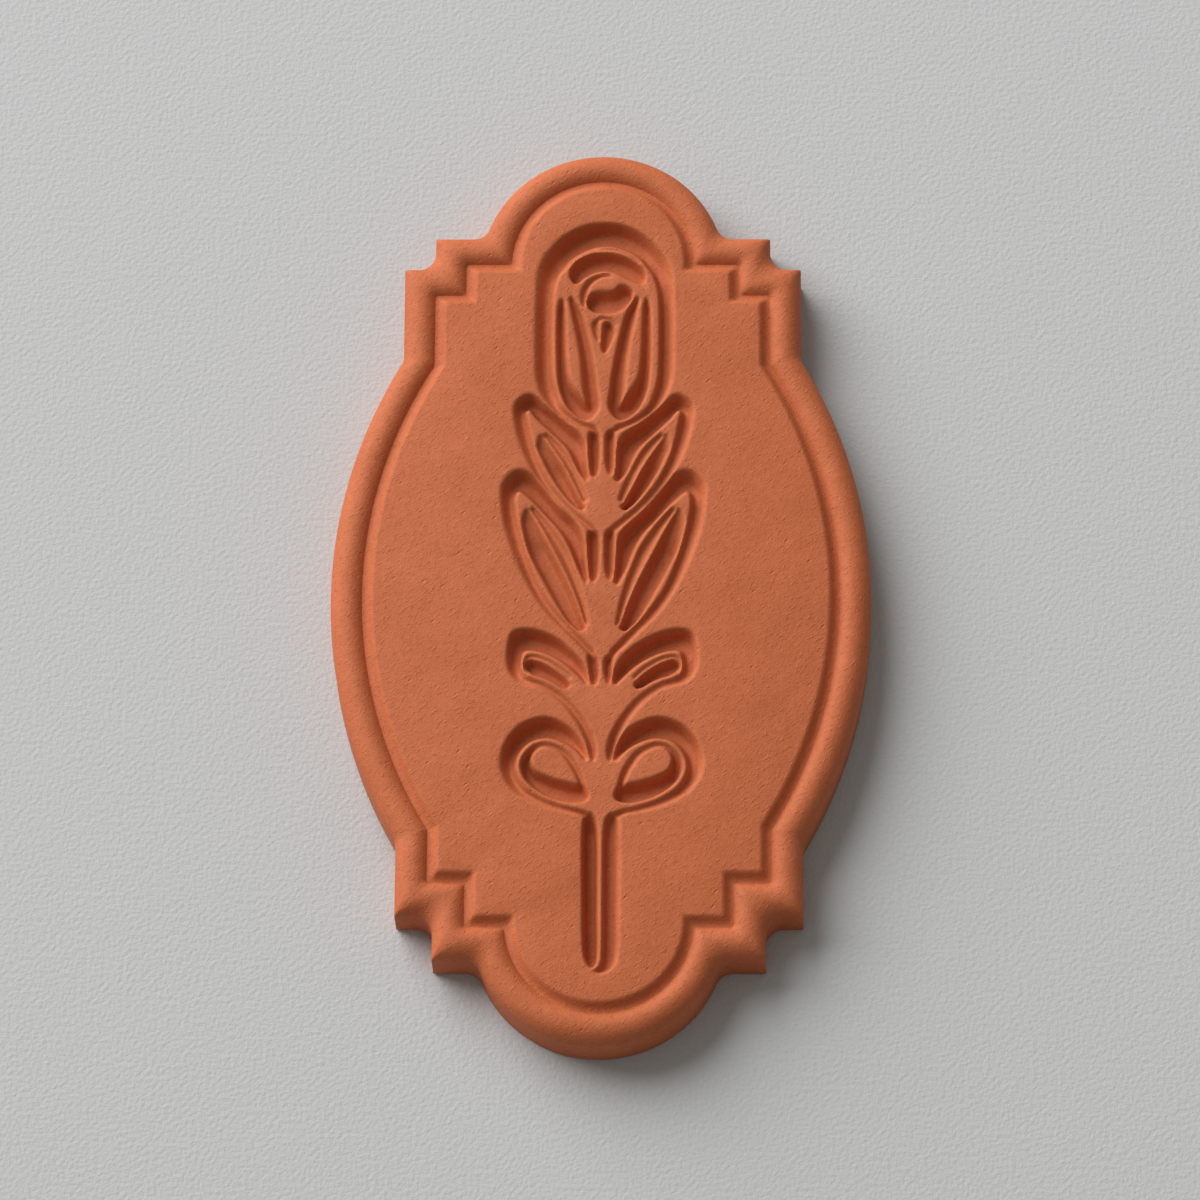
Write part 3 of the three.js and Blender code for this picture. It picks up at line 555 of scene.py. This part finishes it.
def all_channel_surfaces():
    mirrored = [*LEAF_HOLLOWS, THIRD_LEAF_HOLLOW, THIRD_LEAF_RIM_LINE, PETAL_HOLLOW]
    single = [*LEFT_SLOTS, *RIGHT_SLOTS, FOOT_LEFT_SLOT, FOOT_RIGHT_SLOT]
    single += [CRESCENT, BUD_RIM_LINE, SWIRL, PIT, DROP_LEFT, DROP_RIGHT, DROP_ARC]
    surfaces = [channel_surface(rungs, side) for rungs in mirrored for side in (1, -1)]
    surfaces += [channel_surface(BUD_CHANNEL, side, drift=BUD_DRIFT) for side in (1, -1)]
    surfaces += [channel_surface(rungs, 1) for rungs in LEAF_CHANNELS]
    surfaces += [channel_surface(set_back(rungs, LEFT_TIP_GAP), -1) for rungs in LEAF_CHANNELS]
    surfaces += [channel_surface(FOURTH_LEAF_HOLLOW, side, closed=True) for side in (1, -1)]
    surfaces += [channel_surface(rungs, 1) for rungs in single]
    return surfaces


def mesh_object(name, points, faces):
    mesh = bpy.data.meshes.new(name)
    mesh.from_pydata(points, [], faces)
    mesh.update()
    piece = bpy.data.objects.new(name, mesh)
    bpy.context.scene.collection.objects.link(piece)
    return piece


def make_stamp(surfaces):
    """The raised side of the stamp that presses the ornament, one strip for each channel."""
    points, faces = [], []
    for grid in surfaces:
        rows, columns, _ = grid.shape
        first = len(points)
        points += [tuple(p) for p in (grid.reshape(-1, 3) * MM).tolist()]
        for r in range(rows - 1):
            for c in range(columns - 1):
                a = first + r * columns + c
                faces.append((a, a + 1, a + columns + 1, a + columns))
    return mesh_object("flower_stamp", points, faces)


# Blank plaque: the moulding lofted round the outline, a flat back, and a face that is fine under the stamp

def cells_under_stamp(surfaces):
    """The fine cells of the face, which are those under a channel and a few round it."""
    left, right = ORNAMENT_X - ORNAMENT_HALF_WIDTH, ORNAMENT_X + ORNAMENT_HALF_WIDTH
    foot = ORNAMENT_FOOT
    columns = math.ceil((right - left) / CELL)
    rows = math.ceil((ORNAMENT_TOP - foot) / CELL)
    marked = np.zeros((rows, columns), bool)
    for grid in surfaces:
        c = ((grid[:, :, 0] - left) / CELL).astype(int)
        r = ((grid[:, :, 1] - foot) / CELL).astype(int)
        marked[r, c] = True
    for _ in range(CELLS_ROUND_A_CHANNEL):
        grown = marked.copy()
        grown[1:] |= marked[:-1]
        grown[:-1] |= marked[1:]
        grown[:, 1:] |= marked[:, :-1]
        grown[:, :-1] |= marked[:, 1:]
        marked = grown
    return marked, left, foot


def numbered_corners(marked, first):
    """The number of each corner of the fine cells, counted on from the first, and -1 where there is none."""
    padded = np.pad(marked, 1)
    used = padded[:-1, :-1] | padded[1:, :-1] | padded[:-1, 1:] | padded[1:, 1:]
    number = np.full(used.shape, -1)
    number[used] = np.arange(used.sum()) + first
    return number


def lofted_moulding():
    """Points and faces of the back and the moulding, and the ring of points at the edge of the field."""
    counts = []
    half_ring(0, counts)
    section = moulding_section()
    rings = [full_ring(inset, counts) for inset, _ in section]
    size = len(rings[0])
    points = [(x, y, z) for ring, (_, z) in zip(rings, section) for x, y in ring]
    faces = [tuple(reversed(range(size)))]
    for k in range(len(rings) - 1):
        here, there = k * size, (k + 1) * size
        for i in range(size):
            j = (i + 1) % size
            faces.append((here + i, here + j, there + j, there + i))
    field_ring = [len(points) - size + i for i in range(size)]
    return points, faces, field_ring


def make_blank(surfaces):
    """The plaque before it is pressed: back, moulding, fine cells, and the plain face round them."""
    points, faces, field_ring = lofted_moulding()
    marked, left, foot = cells_under_stamp(surfaces)
    number = numbered_corners(marked, len(points))
    for r, c in np.argwhere(number >= 0):
        points.append((left + c * CELL, foot + r * CELL, FIELD_HEIGHT))
    for r, c in np.argwhere(marked):
        faces.append((number[r, c], number[r, c + 1], number[r + 1, c + 1], number[r + 1, c]))
    edges = boundary_edges(marked, number)
    edges += zip(field_ring, field_ring[1:] + field_ring[:1])
    faces += filling(points, edges, marked, left, foot)
    return mesh_object("pressed_clay_plaque", [Vector(p) * MM for p in points], faces)


def boundary_edges(marked, number):
    """Edges between a fine cell and the plain face."""
    padded = np.pad(marked, 1)
    inner = padded[1:-1, 1:-1]
    edges = []
    sides = (
        (padded[:-2, 1:-1], (0, 0), (0, 1)), (padded[2:, 1:-1], (1, 0), (1, 1)),
        (padded[1:-1, :-2], (0, 0), (1, 0)), (padded[1:-1, 2:], (0, 1), (1, 1)),
    )
    for beyond, start, end in sides:
        for r, c in np.argwhere(inner & ~beyond):
            edges.append((int(number[r + start[0], c + start[1]]), int(number[r + end[0], c + end[1]])))
    return edges


def filling(points, edges, marked, left, foot):
    """Triangles of the plain face between the fine cells and the moulding."""
    wanted = sorted({i for edge in edges for i in edge})
    place = {index: k for k, index in enumerate(wanted)}
    flat = [Vector(points[i][:2]) for i in wanted]
    links = [(place[a], place[b]) for a, b in edges]
    inside_only = 1
    closeness = 1e-7
    _, _, triangles, origins, _, _ = delaunay_2d_cdt(flat, links, [], inside_only, closeness)
    triangles = [[origins[i][0] for i in triangle] for triangle in triangles]
    kept = []
    for triangle in triangles:
        x, y = (sum(flat[i][k] for i in triangle) / len(triangle) for k in (0, 1))
        r, c = int((y - foot) / CELL), int((x - left) / CELL)
        inside = 0 <= r < marked.shape[0] and 0 <= c < marked.shape[1] and marked[r, c]
        if not inside:
            kept.append(tuple(wanted[i] for i in triangle))
    return kept


# Geometry nodes that press the stamp into the face

class Tree:
    """Short words for building a node tree."""

    def __init__(self, tree):
        self.tree = tree

    def node(self, kind, inputs=None, **settings):
        node = self.tree.nodes.new(kind)
        for name, value in settings.items():
            setattr(node, name, value)
        for name, value in (inputs or {}).items():
            self.feed(node, name, value)
        return node

    def feed(self, node, name, value):
        if isinstance(value, bpy.types.NodeSocket):
            self.tree.links.new(value, node.inputs[name])
        else:
            node.inputs[name].default_value = value

    def math(self, operation, *values):
        node = self.node("ShaderNodeMath", operation=operation)
        for slot, value in enumerate(values):
            self.feed(node, slot, value)
        return node.outputs[0]

    def noise(self, place, waves, detail):
        return self.node("ShaderNodeTexNoise", {"Vector": place, "Scale": waves, "Detail": detail}).outputs[0]

    def weighted(self, *layers):
        """The sum of some layers, each with its weight."""
        total = None
        for layer, weight in layers:
            share = self.math("MULTIPLY", layer, weight)
            total = share if total is None else self.math("ADD", total, share)
        return total


def pressed_depth(t, given, place):
    """How far the stamp sinks each point of the face, found by a ray from below and softened at the lips."""
    ray_start, ray_length, hair = -10 * MM, 30 * MM, 0.001 * MM
    below = t.node("ShaderNodeCombineXYZ", {"X": place["X"], "Y": place["Y"], "Z": ray_start}).outputs[0]
    stamp = t.node("GeometryNodeObjectInfo", {"Object": given["Stamp"]}).outputs["Geometry"]
    ray = t.node("GeometryNodeRaycast", {
        "Target Geometry": stamp, "Source Position": below, "Ray Direction": (0, 0, 1),
        "Ray Length": ray_length,
    }).outputs
    height = t.node("ShaderNodeSeparateXYZ", {"Vector": ray["Hit Position"]}).outputs["Z"]
    pressed = t.math("MINIMUM", t.math("SUBTRACT", height, given["Face height"]), 0.0)
    on_face = t.math("GREATER_THAN", place["Z"], t.math("SUBTRACT", given["Face height"], hair))
    pressed = t.math("MULTIPLY", t.math("MULTIPLY", pressed, ray["Is Hit"]), on_face)
    softening = {"Value": pressed, "Iterations": given["Lip softening"]}
    return t.node("GeometryNodeBlurAttribute", softening, data_type="FLOAT").outputs[0]


def unevenness(t, given, position, place):
    """A gentle wobble of the surface, always inwards."""
    waves = {"Vector": position, "W": given["Seed"], "Scale": WOBBLE_WAVES, "Detail": 2.0}
    noise = t.node("ShaderNodeTexNoise", waves, noise_dimensions="4D").outputs[0]
    inwards = t.math("MULTIPLY", t.math("SUBTRACT", noise, 1.0), given["Unevenness"])
    above_back = t.math("GREATER_THAN", place["Z"], FLAT_BACK_HEIGHT * MM)
    reach = t.math("MULTIPLY", inwards, above_back)
    normal = t.node("GeometryNodeInputNormal").outputs[0]
    return t.node("ShaderNodeVectorMath", {0: normal, "Scale": reach}, operation="SCALE").outputs[0]


def pressing_tree():
    tree = bpy.data.node_groups.new("press_the_stamp", "GeometryNodeTree")
    sockets = {
        "Clay": "NodeSocketGeometry", "Stamp": "NodeSocketObject", "Face height": "NodeSocketFloat",
        "Lip softening": "NodeSocketInt", "Unevenness": "NodeSocketFloat", "Seed": "NodeSocketFloat",
        "Finish": "NodeSocketMaterial",
    }
    inputs = {}
    for name, kind in sockets.items():
        inputs[name] = tree.interface.new_socket(name, in_out="INPUT", socket_type=kind)
    tree.interface.new_socket("Clay", in_out="OUTPUT", socket_type="NodeSocketGeometry")
    t = Tree(tree)
    given = t.node("NodeGroupInput").outputs
    position = t.node("GeometryNodeInputPosition").outputs[0]
    place = t.node("ShaderNodeSeparateXYZ", {"Vector": position}).outputs
    sink = t.node("ShaderNodeCombineXYZ", {"Z": pressed_depth(t, given, place)}).outputs[0]
    wobble = unevenness(t, given, position, place)
    offset = t.node("ShaderNodeVectorMath", {0: wobble, 1: sink}, operation="ADD").outputs[0]
    moved = t.node("GeometryNodeSetPosition", {"Geometry": given["Clay"], "Offset": offset}).outputs[0]
    real = t.node("GeometryNodeRealizeInstances", {"Geometry": moved}).outputs[0]
    finished = t.node("GeometryNodeSetMaterial", {"Geometry": real, "Material": given["Finish"]}).outputs[0]
    t.node("NodeGroupOutput", {"Clay": finished})
    return tree, inputs


def press(blank, stamp, finish):
    """The blank with the stamp pressed into its face, as a plain mesh."""
    tree, inputs = pressing_tree()
    pressing = blank.modifiers.new("pressing", "NODES")
    pressing.node_group = tree
    values = {
        "Stamp": stamp, "Face height": FIELD_HEIGHT * MM, "Lip softening": LIP_SOFTENING,
        "Unevenness": UNEVENNESS * MM, "Seed": UNEVENNESS_SEED, "Finish": finish,
    }
    for name, value in values.items():
        pressing[inputs[name].identifier] = value
    bpy.context.view_layer.update()
    evaluated = blank.evaluated_get(bpy.context.evaluated_depsgraph_get())
    pressed = bpy.data.meshes.new_from_object(evaluated)
    blank.modifiers.remove(pressing)
    blank.data = pressed
    bpy.data.objects.remove(stamp)
    for polygon in pressed.polygons:
        polygon.use_smooth = True
    pressed.set_sharp_from_angle(angle=math.radians(SHARP_ANGLE))
    return blank


# Finishes

def new_material(name):
    material = bpy.data.materials.new(name)
    material.use_nodes = True
    material.node_tree.nodes.clear()
    return material, Tree(material.node_tree)


def terracotta_clay():
    """Matt red clay: a fine diagonal grain, pin pricks, and a soft drift of colour."""
    material, t = new_material("terracotta_clay")
    place = t.node("ShaderNodeTexCoord").outputs["Object"]
    drift = t.noise(place, DRIFT_WAVES, detail=3.0)
    fleck = t.noise(place, FLECK_WAVES, detail=3.0)
    ramp = t.node("ShaderNodeValToRGB", {"Fac": t.weighted((drift, 0.45), (fleck, 0.55))})
    for element, position, colour in zip(ramp.color_ramp.elements, (0.3, 0.7), (DARK_CLAY, LIGHT_CLAY)):
        element.position = position
        element.color = colour

    along_grain = (0, 0, math.radians(GRAIN_ANGLE))
    slanting = {"Vector": place, "Rotation": along_grain, "Scale": (GRAIN_STRETCH, 1.0, 1.0)}
    slant = t.node("ShaderNodeMapping", slanting, vector_type="TEXTURE").outputs[0]
    scratching = {"Vector": slant, "Scale": STROKE_WAVES, "Detail": 2.0, "Distortion": 0.6}
    strokes = t.node("ShaderNodeTexNoise", scratching).outputs[0]
    ticks = t.node("ShaderNodeMapRange", {"Value": strokes, "From Min": 0.6, "From Max": 0.7}).outputs[0]
    sand = t.noise(place, SAND_WAVES, detail=1.0)
    swell = t.noise(place, SWELL_WAVES, detail=1.0)
    cells = t.node("ShaderNodeTexVoronoi", {"Vector": slant, "Scale": PRICK_WAVES}).outputs["Distance"]
    pricks = t.node("ShaderNodeMapRange", {"Value": cells, "From Min": 0.02, "From Max": 0.11}).outputs[0]
    height = t.weighted((strokes, 0.4), (sand, 0.5), (ticks, 0.4), (swell, 1.3), (pricks, 0.9))
    grain = {"Height": height, "Strength": 1.0, "Distance": GRAIN_DEPTH * MM}
    rough = t.node("ShaderNodeMapRange", {"Value": strokes, "To Min": 0.62, "To Max": 0.76}).outputs[0]
    shader = t.node("ShaderNodeBsdfPrincipled", {
        "Base Color": ramp.outputs[0], "Roughness": rough, "Specular IOR Level": 0.36,
        "Normal": t.node("ShaderNodeBump", grain).outputs[0],
    })
    t.node("ShaderNodeOutputMaterial", {"Surface": shader.outputs[0]})
    return material


def pale_paper():
    """Grey paper with a fine felted tooth."""
    material, t = new_material("pale_paper")
    place = t.node("ShaderNodeTexCoord").outputs["Object"]
    fibres = t.noise(place, FIBRE_WAVES, detail=3.0)
    cloud = t.noise(place, CLOUD_WAVES, detail=3.0)
    height = t.weighted((fibres, 0.7), (cloud, 0.5))
    tooth = {"Height": height, "Strength": 1.0, "Distance": PAPER_TOOTH * MM}
    shader = t.node("ShaderNodeBsdfPrincipled", {
        "Base Color": PALE_GREY, "Roughness": 0.95, "Specular IOR Level": 0.1,
        "Normal": t.node("ShaderNodeBump", tooth).outputs[0],
    })
    t.node("ShaderNodeOutputMaterial", {"Surface": shader.outputs[0]})
    return material


# Setting: paper, light and camera

def make_floor():
    half = PAPER_HALF_WIDTH * MM
    corners = [(-half, -half, 0), (half, -half, 0), (half, half, 0), (-half, half, 0)]
    floor = mesh_object("paper_floor", corners, [(0, 1, 2, 3)])
    floor.data.materials.append(pale_paper())


def make_light():
    """A soft box to the upper left, and an even sky."""
    bearing, rise = math.radians(LAMP_BEARING), math.radians(LAMP_RISE)
    softbox = bpy.data.lights.new("softbox", "AREA")
    softbox.shape = "DISK"
    softbox.size = LAMP_DIAMETER * MM
    softbox.energy = LAMP_POWER
    lamp = bpy.data.objects.new("softbox", softbox)
    level = math.cos(rise)
    towards = Vector((level * math.cos(bearing), level * math.sin(bearing), math.sin(rise)))
    lamp.location = towards * (LAMP_DISTANCE * MM)
    lamp.rotation_euler = towards.to_track_quat("Z", "Y").to_euler()
    bpy.context.scene.collection.objects.link(lamp)
    sky = bpy.data.worlds.new("sky")
    sky.use_nodes = True
    sky.node_tree.nodes["Background"].inputs["Color"].default_value = SKY_COLOUR
    sky.node_tree.nodes["Background"].inputs["Strength"].default_value = SKY_STRENGTH
    bpy.context.scene.world = sky


def make_camera():
    """A long lens held past the foot of the plaque and a little to its right."""
    tilt, turn = math.radians(CAMERA_TILT), math.radians(CAMERA_TURN)
    lens = bpy.data.cameras.new("camera")
    lens.sensor_width = FILM_WIDTH
    lens.lens = LENS_LENGTH
    lens.shift_x = PICTURE_SHIFT_X / PICTURE_WIDTH
    lens.shift_y = PICTURE_SHIFT_Y / PICTURE_WIDTH
    camera = bpy.data.objects.new("camera", lens)
    back = Vector((math.sin(turn), -math.sin(tilt) * math.cos(turn), math.cos(tilt) * math.cos(turn)))
    right = (Vector((1, 0, 0)) - back * back.x).normalized()
    camera.location = Vector((0, 0, WALL_HEIGHT * MM)) + back * (CAMERA_DISTANCE * MM)
    camera.rotation_euler = Matrix((right, back.cross(right), back)).transposed().to_euler()
    bpy.context.scene.collection.objects.link(camera)
    bpy.context.scene.camera = camera


make_camera()
surfaces = all_channel_surfaces()
plaque = press(make_blank(surfaces), make_stamp(surfaces), terracotta_clay())
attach(plaque, "root")
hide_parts("clay_plaque")
make_floor()
make_light()
bpy.context.scene.view_settings.view_transform = "Standard"
